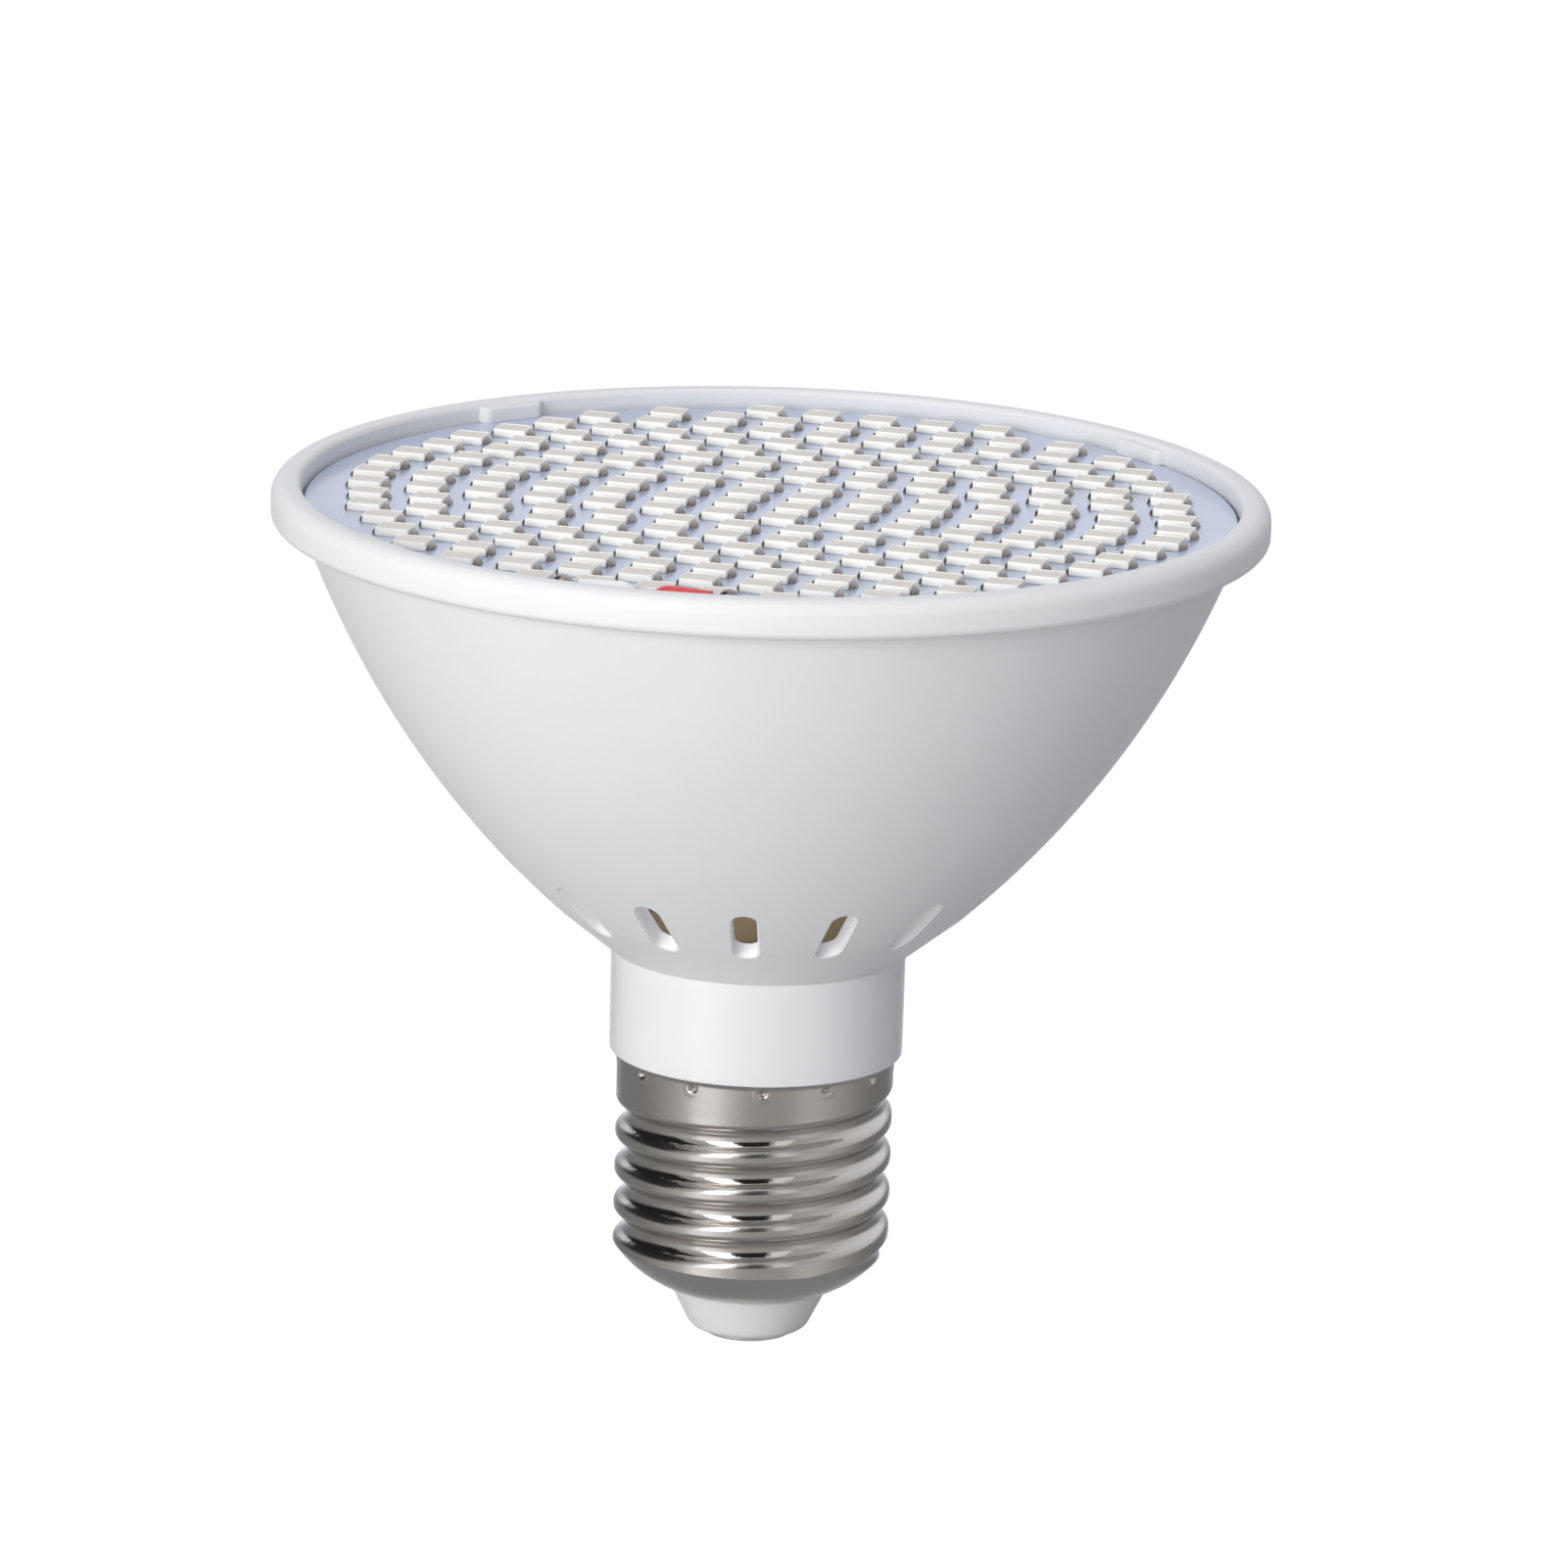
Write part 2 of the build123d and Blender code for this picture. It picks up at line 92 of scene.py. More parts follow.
# Bell and rim
RIM_HEIGHT = 3.6
RIM_BOTTOM_Z = TOP_Z - RIM_HEIGHT
RIM_INNER_RADIUS = 44.1
RIM_TOP_ROUND = 1.5
RIM_BOTTOM_ROUND = 0.8
RIM_INNER_ROUND = 0.6
BELL_WALL = 1.6
BELL_TOP_RADIUS = 44.1
BELL_ARC_RADIUS = 91.0
KINK_RADIUS = 19.9
KINK_HEIGHT = 4.75
KINK_Z = NECK_TOP_Z + KINK_HEIGHT
KINK_ROUND = 0.9
LEDGE_WIDTH = 1.7
LEDGE_DEPTH = 1.1
SPIGOT_RADIUS = 12.5
SPIGOT_BORE = 11.3
SPIGOT_LENGTH = 6.0
BELL_ROWS = 90
BELL_FIRST_ROW = 1.2
BELL_STEP = 1.0

# Vents, and the plugs that cut them
VENT_COUNT = 16
VENT_FIRST_ANGLE = -93.2
VENT_WIDTH = 2.3
VENT_LENGTH = 7.9
VENT_HEIGHT = 6.6
VENT_Z = NECK_TOP_Z + VENT_HEIGHT
VENT_FLARE = 0.22
VENT_END_STEPS = 14
FLARE_STEPS = 6
FLARE_DEPTH = 1.3
FLARE_START = 0.9
PLUG_SKIN = 0.02
PLUG_OUTSIDE = 1.2
PLUG_SPREAD = 2.2
PLUG_INSIDE = 5.0

# Snap tabs
TAB_COUNT = 4
TAB_FIRST_ANGLE = 36.0
TAB_ANGLE = 9.2
TAB_REACH = 1.0
TAB_TOP_GAP = 0.35
TAB_LIFT = 0.02
TAB_ROOT_RADIUS = RIM_INNER_RADIUS + 0.5
TAB_ROUND = 0.35
TAB_STEPS = 48
TAB_END_SHARE = 0.12
TAB_END_REACH = 0.25

# Board
BOARD_RADIUS = 43.8
BOARD_ANGLE = -15.4
BOARD_EDGE = 0.12
BOARD_STEPS = 300
NOTCH_WIDTH = 3.6
NOTCH_INNER_RADIUS = 40.4

# Diodes, with each row's gap to the board's edge from the middle row outwards
DIODE_ROW_PITCH = 4.5
DIODE_LENGTH = 3.5
DIODE_WIDTH = 2.8
DIODE_LEAST_SPACING = 5.65
DIODE_EDGE_GAPS = (3.35, 3.65, 4.0, 3.55, 3.95, 3.45, 2.6, 2.5, 2.0)
BODY_LENGTH = 3.2
BODY_WIDTH = 2.8
BODY_HEIGHT = 0.8
BODY_EDGE = 0.07
BODY_FOOT = 0.07
BODY_UNDERCUT = 0.1
BODY_CORNER = 0.12
WINDOW_LENGTH = 2.85
WINDOW_WIDTH = 2.5
WINDOW_DEPTH = 0.06
WINDOW_RIM = 0.1
WINDOW_CORNER = 0.1
GEL_LIFT = 0.005
GEL_STEPS = 3
GEL_RISE = 0.02
GEL_SHRINK = 0.28
SOLDER_REACH = 0.62
SOLDER_WIDTH = 2.1
SOLDER_HEIGHT = 0.62
SOLDER_OVERLAP = 0.05
SOLDER_RINGS = 5
SOLDER_SPOKES = 14

# Powers that round the solder's foot and its narrowing towards the top
SOLDER_FOOT_POWER = 0.8
SOLDER_TOP_POWER = 0.6

# Solder joints of the leads, with the powers that shape their domes
PAD_OFFSET = 7.8
PAD_LINE = 41.3
JOINT_RADIUS = 1.35
JOINT_HEIGHT = 1.75
JOINT_STEPS = 32
JOINT_RINGS = 12
JOINT_DOME_POWER = 1.6
JOINT_RISE_POWER = 1.1

# Screw cap
CREST_RADIUS = 13.2
CREST_FLAT = 0.03
THREAD_PITCH = 3.629
THREAD_ARC = 1.025
THREAD_DEPTH = 1.05
THREAD_TURNS = 4
THREAD_START_Z = 8.81
RUNOUT_TURNS = 0.3
RUNOUT_LIFT = 1.2
THREAD_ROW = 0.09
LIP_FLARE = 0.3
LIP_HEIGHT = 0.6
LIP_ROWS = 6
LIP_CURL = 0.92
LIP_EDGE_ROUND = 0.05
LIP_EDGE_WIDTH = 0.25
SHELL_STEPS = 400
SHELL_SHARP_ANGLE = 50.0
SHELL_BORE = 11.8
SHELL_HOLE = 8.0
SHELL_HOLE_Z = 4.9
DOME_TOP_Z = 8.9
DOME_BULGE = 0.5
DOME_ROWS = 16
SHELL_GAUGE = 0.45

# Crimp marks under the cap's lip: sizes, and places in degrees from the front
CRIMP_DEPTH = 0.38
CRIMP_DROP = 0.85
CRIMP_SIZE = 0.42
CRIMP_FADE = 6
CRIMP_BAND = 3
CRIMP_LIP_ROWS = 4
CRIMP_ANGLES = (-54.0, -26.0, 3.6, 31.0, 58.0, 88.0, 118.0, 148.0, 178.0, 208.0, 238.0, 272.0)

# Insulator and contact
INSULATOR_FOOT_Z = 0.5
INSULATOR_GAP = 0.3
INSULATOR_TIP_RADIUS = 5.5
INSULATOR_BORE = 1.1
INSULATOR_FOOT_ROUND = 1.3
INSULATOR_NECK_ROUND = 0.3
INSULATOR_STEPS = 240
INSULATOR_STEP = 0.8
FLANGE_HEIGHT = 1.1
CONTACT_RADIUS = 4.3
CONTACT_GAP = 0.08
CONTACT_EDGE_ROUND = 0.25
CONTACT_TOP_ROUND = 0.08
CONTACT_STEPS = 180
RIVET_RADIUS = 1.0
RIVET_HEAD_RADIUS = 1.9
RIVET_HEAD_HEIGHT = 0.4
RIVET_HEAD_ROUND = 0.2

# Roughness of the cap against its height, as shares of the height from the contact
SATIN_BANDS = ((0.0, 0.3), (0.29, 0.3), (0.33, 0.09), (0.84, 0.09), (0.88, 0.28), (1.0, 0.28))

# Roughness of the thread's crests, and the depths below them where it starts and is full
CREST_ROUGHNESS = 0.22
CREST_FROM = 0.55
CREST_FULL = 0.3

# Settings that all materials share
COAT_ROUGHNESS = 0.08
LEAST_ROUGHNESS = 0.02
ROUGH_SPREAD = 0.06
MOTTLE_FROM = 0.3
MOTTLE_TO = 0.7
MOTTLE_DETAIL = 4.0
GRAIN_DETAIL = 3.0
GRAIN_DEPTH = 0.0001

# Picture's frame in pixels, and the camera, in millimetres and degrees
FRAME_PIXELS = 1601
SENSOR_WIDTH = 36.0
FOCAL_PIXELS = 9701.0
CAMERA_DISTANCE = 900.0
CAMERA_ELEVATION = 14.35
CAMERA_ROLL = 1.68
AIM_Z = 46.2
AIM_PIXEL = (776.5, 880.3)
CLIP_START = 0.01
CLIP_END = 20

# Floor, in metres
FLOOR_HALF_SIZE = 6.0
FLOOR_DROP = 0.0005
FLOOR_COLOUR = (0.55, 0.55, 0.56, 1)
FLOOR_GLOW = 1.05
FLOOR_GLOW_SHARE = 0.94

# Lamps outside the bulb, in metres and watts: name, place, size, power, colour
LAMPS = (
    ("key", (-0.60, -0.92, 0.27), 0.6, 9.2, (1.0, 0.995, 0.985)),
    ("top", (0.1, -0.2, 1.1), 0.8, 2.0, (1.0, 1.0, 1.0)),
)

# Light that comes through the bell's thin wall
INNER_LAMP_WATTS = 0.006
INNER_LAMP_PLACE = (-4.0, -16.0, 58.0)
INNER_LAMP_RADIUS = 4

# Brightness round the studio, as (degrees from the front, positive to the right, and level).
# It is the white background behind the bulb, and soft boxes with dark gaps before it.
UPPER_SKY = (
    (-180, 1.0), (-150, 0.85), (-140, 0.02), (-76, 0.02), (-68, 0.4), (-46, 0.55), (-42, 3.2),
    (-22, 3.2), (-18, 0.02), (14, 0.02), (18, 0.9), (34, 0.9), (38, 0.45), (90, 0.65),
    (150, 0.9), (180, 1.0),
)
LOWER_SKY = (
    (-180, 1.0), (-160, 0.42), (-146, 0.24), (-101, 0.25), (-76, 0.42), (-56, 0.62), (-50, 1.2),
    (-34, 1.2), (-22, 0.75), (-4, 0.42), (28, 0.4), (44, 0.62), (56, 0.58), (76, 0.42),
    (109, 0.22), (146, 0.22), (160, 0.4), (180, 1.0),
)

# Heights of a direction between which the lower ring turns into the upper one, and into the
# level straight below
SKY_FROM, SKY_FULL = 0.05, 0.3
NADIR_FROM, NADIR_FULL = -0.35, -0.75
NADIR_LEVEL = 0.29

# Tints of the rings, with the degrees from the front where the back's tint starts and is full
FRONT_TINT = (1.0, 0.985, 0.965)
BACK_TINT = (0.94, 0.97, 1.04)
BACK_FROM, BACK_FULL = 110, 160

# Even light on matt surfaces, and the background
SOFT_LIGHT = (0.53, 0.543, 0.565, 1)
WHITE = (1, 1, 1, 1)


# Materials
def new_node(tree, kind, **values):
    """New shader node with its settings."""
    node = tree.nodes.new(kind)
    for key, value in values.items():
        setattr(node, key, value)
    return node


def surface(name, colour, roughness, metallic=0.0, coat=0.0, mottle=0.04, mottle_scale=60.0,
            grain=0.05, grain_scale=900.0):
    """Shader with uneven colour and roughness and a fine grain in its relief."""
    material = bpy.data.materials.new(name)
    material.use_nodes = True
    tree = material.node_tree
    shader = tree.nodes["Principled BSDF"]
    shader.inputs["Metallic"].default_value = metallic
    shader.inputs["Coat Weight"].default_value = coat
    shader.inputs["Coat Roughness"].default_value = COAT_ROUGHNESS
    place = new_node(tree, "ShaderNodeTexCoord")
    cloud = new_node(tree, "ShaderNodeTexNoise")
    cloud.inputs["Scale"].default_value = mottle_scale
    cloud.inputs["Detail"].default_value = MOTTLE_DETAIL
    tree.links.new(place.outputs["Object"], cloud.inputs["Vector"])
    ramp = new_node(tree, "ShaderNodeValToRGB")
    dark, light = ramp.color_ramp.elements
    dark.position, light.position = MOTTLE_FROM, MOTTLE_TO
    dark.color = tuple(c * (1 - mottle) for c in colour) + (1,)
    light.color = tuple(min(1, c * (1 + mottle)) for c in colour) + (1,)
    tree.links.new(cloud.outputs["Fac"], ramp.inputs["Fac"])
    tree.links.new(ramp.outputs["Color"], shader.inputs["Base Color"])
    spread = new_node(tree, "ShaderNodeMapRange")
    spread.inputs["To Min"].default_value = max(LEAST_ROUGHNESS, roughness - ROUGH_SPREAD)
    spread.inputs["To Max"].default_value = min(1, roughness + ROUGH_SPREAD)
    tree.links.new(cloud.outputs["Fac"], spread.inputs["Value"])
    tree.links.new(spread.outputs["Result"], shader.inputs["Roughness"])
    fine = new_node(tree, "ShaderNodeTexNoise")
    fine.inputs["Scale"].default_value = grain_scale
    fine.inputs["Detail"].default_value = GRAIN_DETAIL
    tree.links.new(place.outputs["Object"], fine.inputs["Vector"])
    relief = new_node(tree, "ShaderNodeBump")
    relief.inputs["Strength"].default_value = grain
    relief.inputs["Distance"].default_value = GRAIN_DEPTH
    tree.links.new(fine.outputs["Fac"], relief.inputs["Height"])
    tree.links.new(relief.outputs["Normal"], shader.inputs["Normal"])
    return material


materials = {
    "cap_metal": surface("nickel_plate", (0.63, 0.605, 0.585), 0.17, metallic=1.0, mottle=0.05,
                         grain=0.12, grain_scale=1400.0),
    "insulator_ivory": surface("insulator", (0.80, 0.79, 0.765), 0.55, mottle=0.05, grain=0.3),
    "contact_metal": surface("contact_plate", (0.86, 0.86, 0.85), 0.35, metallic=1.0),
    "neck_plastic": surface("neck_gloss", (0.775, 0.777, 0.785), 0.16, coat=0.3, mottle=0.01,
                            grain=0.02),
    "housing_plastic": surface("bell_satin", (0.78, 0.78, 0.785), 0.42, mottle=0.012, grain=0.12,
                               grain_scale=1500.0),
    "board_white": surface("board_mask", (0.50, 0.56, 0.74), 0.22, coat=0.4, mottle=0.05,
                           mottle_scale=140.0),
    "diode_package": surface("diode_body", (0.95, 0.93, 0.88), 0.35, mottle=0.03),
    "diode_window": surface("diode_gel", (0.68, 0.62, 0.55), 0.3, coat=0.2, mottle=0.06,
                            mottle_scale=500.0),
    "solder": surface("solder_metal", (0.36, 0.33, 0.32), 0.3, metallic=1.0, mottle=0.2,
                      mottle_scale=700.0, grain=0.4),
    "white_insulation": surface("white_wire", (0.90, 0.90, 0.91), 0.4, mottle=0.02),
    "red_insulation": surface("red_wire", (0.74, 0.08, 0.09), 0.35, mottle=0.05),
    "circuit_board": surface("laminate", (0.40, 0.31, 0.19), 0.6, mottle=0.1, mottle_scale=200.0),
    "capacitor_sleeve": surface("sleeve_film", (0.03, 0.035, 0.05), 0.3),
    "capacitor_case": surface("film_case", (0.50, 0.36, 0.10), 0.35),
    "black_moulding": surface("epoxy", (0.02, 0.02, 0.02), 0.5, grain=0.3),
    "resistor_coating": surface("lacquer", (0.16, 0.26, 0.2), 0.4),
    "ferrite": surface("ferrite_grey", (0.06, 0.06, 0.065), 0.6, grain=0.4),
    "coil_tape": surface("tape", (0.60, 0.47, 0.10), 0.3),
    "tinned_wire": surface("tinned", (0.6, 0.6, 0.6), 0.3, metallic=1.0),
}


def satin_ends(material):
    """Make a metal polished in the grooves and satin on the crests, the dome and the skirt."""
    tree = material.node_tree
    place = new_node(tree, "ShaderNodeTexCoord")
    split = new_node(tree, "ShaderNodeSeparateXYZ")
    tree.links.new(place.outputs["Object"], split.inputs[0])
    height = new_node(tree, "ShaderNodeMapRange")
    height.inputs["From Max"].default_value = CAP_TOP_Z * MM
    tree.links.new(split.outputs["Z"], height.inputs["Value"])
    ramp = new_node(tree, "ShaderNodeValToRGB")
    elements = ramp.color_ramp.elements
    elements[0].position, elements[1].position = SATIN_BANDS[0][0], SATIN_BANDS[-1][0]
    for position, _ in SATIN_BANDS[1:-1]:
        elements.new(position)
    for element, (_, level) in zip(elements, SATIN_BANDS):
        element.color = (level, level, level, 1)
    tree.links.new(height.outputs["Result"], ramp.inputs["Fac"])
    flat = new_node(tree, "ShaderNodeCombineXYZ")
    tree.links.new(split.outputs["X"], flat.inputs["X"])
    tree.links.new(split.outputs["Y"], flat.inputs["Y"])
    reach = new_node(tree, "ShaderNodeVectorMath", operation="LENGTH")
    tree.links.new(flat.outputs[0], reach.inputs[0])
    crest = new_node(tree, "ShaderNodeMapRange")
    crest.inputs["From Min"].default_value = (CREST_RADIUS - CREST_FROM) * MM
    crest.inputs["From Max"].default_value = (CREST_RADIUS - CREST_FULL) * MM
    crest.inputs["To Min"].default_value = 0.0
    crest.inputs["To Max"].default_value = CREST_ROUGHNESS
    tree.links.new(reach.outputs["Value"], crest.inputs["Value"])
    rough = new_node(tree, "ShaderNodeMath", operation="MAXIMUM")
    tree.links.new(ramp.outputs["Color"], rough.inputs[0])
    tree.links.new(crest.outputs["Result"], rough.inputs[1])
    shader = tree.nodes["Principled BSDF"]
    tree.links.new(rough.outputs[0], shader.inputs["Roughness"])


satin_ends(materials["cap_metal"])


# Mesh helpers
def new_piece(name, points, faces, material, slot, replaced=(), sharp=SHARP_ANGLE):
    """Mesh piece in the bulb's frame that rides on the bulb and may stand for solids."""
    mesh = bpy.data.meshes.new(name)
    mesh.from_pydata([(x * MM, y * MM, z * MM) for x, y, z in points], [], faces)
    work = bmesh.new()
    work.from_mesh(mesh)
    bmesh.ops.remove_doubles(work, verts=work.verts, dist=MERGE_DISTANCE)
    bmesh.ops.recalc_face_normals(work, faces=work.faces)
    work.to_mesh(mesh)
    work.free()
    finish_mesh(mesh, sharp)
    mesh.materials.append(materials[material])
    obj = bpy.data.objects.new(name, mesh)
    bpy.context.scene.collection.objects.link(obj)
    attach(obj, "root")
    if replaced:
        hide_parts(*replaced)
    return obj


def finish_mesh(mesh, sharp):
    """Smooth shading that stays crisp at corners."""
    mesh.shade_smooth()
    mesh.set_sharp_from_angle(angle=radians(sharp))


def grid_faces(rows, columns, close_rows=False, first=0):
    """Quads of a grid whose columns close round the axis."""
    faces = []
    for i in range(rows if close_rows else rows - 1):
        below = first + i * columns
        above = first + ((i + 1) % rows) * columns
        for j in range(columns):
            k = (j + 1) % columns
            faces.append((below + j, below + k, above + k, above + j))
    return faces


def end_faces(rows, columns, first=0):
    """Faces that close the first and the last row of a grid."""
    last = first + (rows - 1) * columns
    return [tuple(first + j for j in range(columns))[::-1], tuple(last + j for j in range(columns))]


def rounded_outline(corners, steps=8):
    """Closed outline from (x, y, radius) corners, with an arc at each corner."""
    outline = []
    count = len(corners)
    for i, (x, y, radius) in enumerate(corners):
        if radius == 0:
            outline.append((x, y))
            continue
        before, after = corners[i - 1], corners[(i + 1) % count]
        here = Vector((x, y))
        into = (Vector(before[:2]) - here).normalized()
        out = (Vector(after[:2]) - here).normalized()
        half = into.angle(out) / 2
        reach = radius / tan(half)
        centre = here + (into + out).normalized() * (radius / sin(half))
        start, end = here + into * reach - centre, here + out * reach - centre
        turn = start.angle_signed(end)
        for step in range(steps + 1):
            angle = -turn * step / steps
            outline.append(
                (
                    centre.x + start.x * cos(angle) - start.y * sin(angle),
                    centre.y + start.x * sin(angle) + start.y * cos(angle),
                )
            )
    return outline


def turned(outline, steps=ROUND_STEPS):
    """Points and faces of an outline of (radius, height) turned about the axis."""
    points = []
    for radius, z in outline:
        for j in range(steps):
            angle = 2 * pi * j / steps
            points.append((radius * cos(angle), radius * sin(angle), z))
    return points, grid_faces(len(outline), steps, close_rows=True)


def split_long(outline, longest):
    """Outline with extra points, so that no stretch is longer than stated."""
    dense = []
    for start, end in zip(outline, outline[1:] + outline[:1]):
        across, up = end[0] - start[0], end[1] - start[1]
        pieces = max(1, ceil(hypot(across, up) / longest))
        for k in range(pieces):
            share = k / pieces
            dense.append((start[0] + across * share, start[1] + up * share))
    return dense


def on_board(x, y, z=0.0):
    """Turn a point of the board's own frame into the bulb's frame."""
    angle = radians(BOARD_ANGLE)
    return (x * cos(angle) - y * sin(angle), x * sin(angle) + y * cos(angle), z)


# Housing: bell, rim, ledge, vents and snap tabs
def bell_arc():
    """Centre of the bell's outer arc, in (radius, height)."""
    start, end = Vector((KINK_RADIUS, KINK_Z)), Vector((BELL_TOP_RADIUS, RIM_BOTTOM_Z))
    across = (end - start).normalized()
    rise = sqrt(BELL_ARC_RADIUS**2 - ((end - start).length / 2) ** 2)
    return (start + end) / 2 + Vector((-across.y, across.x)) * rise


BELL_CENTRE = bell_arc()


def wall_radius(z, inset=0.0):
    """Radius of the bell's wall at a height, seen from outside or inset towards the axis."""
    return BELL_CENTRE.x + sqrt((BELL_ARC_RADIUS - inset) ** 2 - (z - BELL_CENTRE.y) ** 2)


def housing_outline():
    """Closed section of the housing."""
    first_z = KINK_Z + BELL_FIRST_ROW
    rise = RIM_BOTTOM_Z - first_z
    heights = [first_z + rise * k / BELL_ROWS for k in range(BELL_ROWS)]
    ledge_z = BOARD_BOTTOM_Z - LEDGE_DEPTH
    inner_first_z = KINK_Z + BELL_WALL / 2
    fall = inner_first_z - ledge_z
    inner_heights = [ledge_z + fall * k / BELL_ROWS for k in range(BELL_ROWS + 1)]
    slope = (KINK_RADIUS - NECK_RADIUS) / (KINK_Z - NECK_TOP_Z)
    inner_kink = wall_radius(inner_first_z, BELL_WALL)
    inner_neck_z = inner_first_z - (inner_kink - SPIGOT_BORE) / slope
    ledge_radius = RIM_INNER_RADIUS - LEDGE_WIDTH
    corners = [(NECK_RADIUS, NECK_TOP_Z, 0), (KINK_RADIUS, KINK_Z, KINK_ROUND)]
    corners += [(wall_radius(z), z, 0) for z in heights]
    corners += [
        (BELL_TOP_RADIUS, RIM_BOTTOM_Z, 0),
        (RIM_RADIUS, RIM_BOTTOM_Z, RIM_BOTTOM_ROUND),
        (RIM_RADIUS, TOP_Z, RIM_TOP_ROUND),
        (RIM_INNER_RADIUS, TOP_Z, RIM_INNER_ROUND),
        (RIM_INNER_RADIUS, BOARD_BOTTOM_Z, 0),
        (ledge_radius, BOARD_BOTTOM_Z, 0),
    ]
    corners += [(wall_radius(z, BELL_WALL), z, 0) for z in inner_heights]
    corners += [
        (SPIGOT_BORE, inner_neck_z, 0),
        (SPIGOT_BORE, NECK_TOP_Z - SPIGOT_LENGTH, 0),
        (SPIGOT_RADIUS, NECK_TOP_Z - SPIGOT_LENGTH, 0),
        (SPIGOT_RADIUS, NECK_TOP_Z, 0),
    ]
    return split_long(rounded_outline(corners), BELL_STEP)


def vent_outline(offset):
    """Slot outline about its own middle, grown by an offset on every side."""
    radius = VENT_WIDTH / 2 + offset
    straight = (VENT_LENGTH - VENT_WIDTH) / 2
    outline = []
    for side in (1, -1):
        for k in range(VENT_END_STEPS + 1):
            angle = pi * k / VENT_END_STEPS
            outline.append((radius * cos(angle) * side, side * (straight + radius * sin(angle))))
    return outline


def vent_cutters():
    """One mesh with a flared plug for each vent."""
    middle = Vector((wall_radius(VENT_Z), VENT_Z))
    normal = (middle - BELL_CENTRE).normalized()
    along = Vector((-normal.y, normal.x))
    levels = [(PLUG_OUTSIDE, VENT_FLARE * PLUG_SPREAD), (PLUG_SKIN, VENT_FLARE)]
    for k in range(1, FLARE_STEPS + 1):
        turn = pi / 2 * k / FLARE_STEPS
        depth = PLUG_SKIN - VENT_FLARE * FLARE_DEPTH * sin(turn)
        levels.append((depth, VENT_FLARE * (1 - sin(turn) ** 2) * FLARE_START))
    levels.append((-PLUG_INSIDE, 0.0))
    columns = len(vent_outline(0))
    points, faces = [], []
    for vent in range(VENT_COUNT):
        angle = radians(VENT_FIRST_ANGLE + 360 * vent / VENT_COUNT)
        outward = Vector((cos(angle), sin(angle), 0))
        sideways = Vector((-sin(angle), cos(angle), 0))
        first = len(points)
        for depth, offset in levels:
            for across, up in vent_outline(offset):
                radius = middle.x + normal.x * depth + along.x * up
                z = middle.y + normal.y * depth + along.y * up
                points.append(tuple(outward * radius + sideways * across + Vector((0, 0, z))))
        faces += grid_faces(len(levels), columns, first=first)
        faces += end_faces(len(levels), columns, first)
    return points, faces


def snap_tabs():
    """Snap tabs inside the rim: slabs with rounded ends that sink into the wall."""
    base_z, top_z = BOARD_TOP_Z + TAB_LIFT, TOP_Z - TAB_TOP_GAP
    section = rounded_outline(
        [
            (TAB_ROOT_RADIUS, base_z, 0),
            (TAB_ROOT_RADIUS, top_z, 0),
            (RIM_INNER_RADIUS - TAB_REACH, top_z, TAB_ROUND),
            (RIM_INNER_RADIUS - TAB_REACH, base_z, 0),
        ],
        steps=5,
    )
    points, faces = [], []
    for tab in range(TAB_COUNT):
        middle = TAB_FIRST_ANGLE + 360 * tab / TAB_COUNT
        first = len(points)
        for k in range(TAB_STEPS + 1):
            share = k / TAB_STEPS
            edge = min(share, 1 - share) / TAB_END_SHARE
            fill = sqrt(1 - (1 - min(edge, 1)) ** 2)
            reach = TAB_END_REACH + (1 - TAB_END_REACH) * fill
            angle = radians(middle + TAB_ANGLE * (share - 0.5))
            for radius, z in section:
                inner = TAB_ROOT_RADIUS - (TAB_ROOT_RADIUS - radius) * reach
                points.append((inner * cos(angle), inner * sin(angle), z))
        faces += grid_faces(TAB_STEPS + 1, len(section), first=first)
        faces += end_faces(TAB_STEPS + 1, len(section), first)
    return points, faces


def make_housing():
    """Turned housing with its vents cut and its tabs added."""
    plastic = ("housing_plastic", "housing_plastic")
    housing = new_piece("housing_shell", *turned(housing_outline()), *plastic, ("housing",))
    cutter = new_piece("vent_cutter", *vent_cutters(), *plastic)
    cut = housing.modifiers.new("vents", "BOOLEAN")
    cut.operation = "DIFFERENCE"
    cut.solver = "EXACT"
    cut.object = cutter
    bpy.context.view_layer.update()
    depsgraph = bpy.context.evaluated_depsgraph_get()
    result = bpy.data.meshes.new_from_object(housing.evaluated_get(depsgraph))
    housing.modifiers.clear()
    housing.data = result
    bpy.data.objects.remove(cutter)
    finish_mesh(result, SHARP_ANGLE)
    new_piece("snap_tabs", *snap_tabs(), *plastic)


make_housing()


# Neck sleeve
def make_neck():
    """Glossy collar between the cap and the bell, with its tail inside the cap."""
    socket = NECK_RADIUS - NECK_WALL
    socket_z = NECK_TOP_Z - SOCKET_DEPTH
    tail = SHELL_BORE - TAIL_GAP
    outline = rounded_outline(
        [
            (NECK_RADIUS - NECK_DRAFT, CAP_TOP_Z, NECK_FOOT_ROUND),
            (NECK_RADIUS, NECK_TOP_Z, NECK_TOP_ROUND),
            (socket, NECK_TOP_Z, 0),
            (socket, socket_z, 0),
            (NECK_BORE, socket_z, 0),
            (NECK_BORE, NECK_TAIL_Z, 0),
            (tail, NECK_TAIL_Z, 0),
            (tail, CAP_TOP_Z, 0),
        ],
        steps=5,
    )
    points, faces = turned(split_long(outline, NECK_STEP))
    new_piece("neck_collar", points, faces, "neck_plastic", "neck_plastic", ("neck_sleeve",))


make_neck()


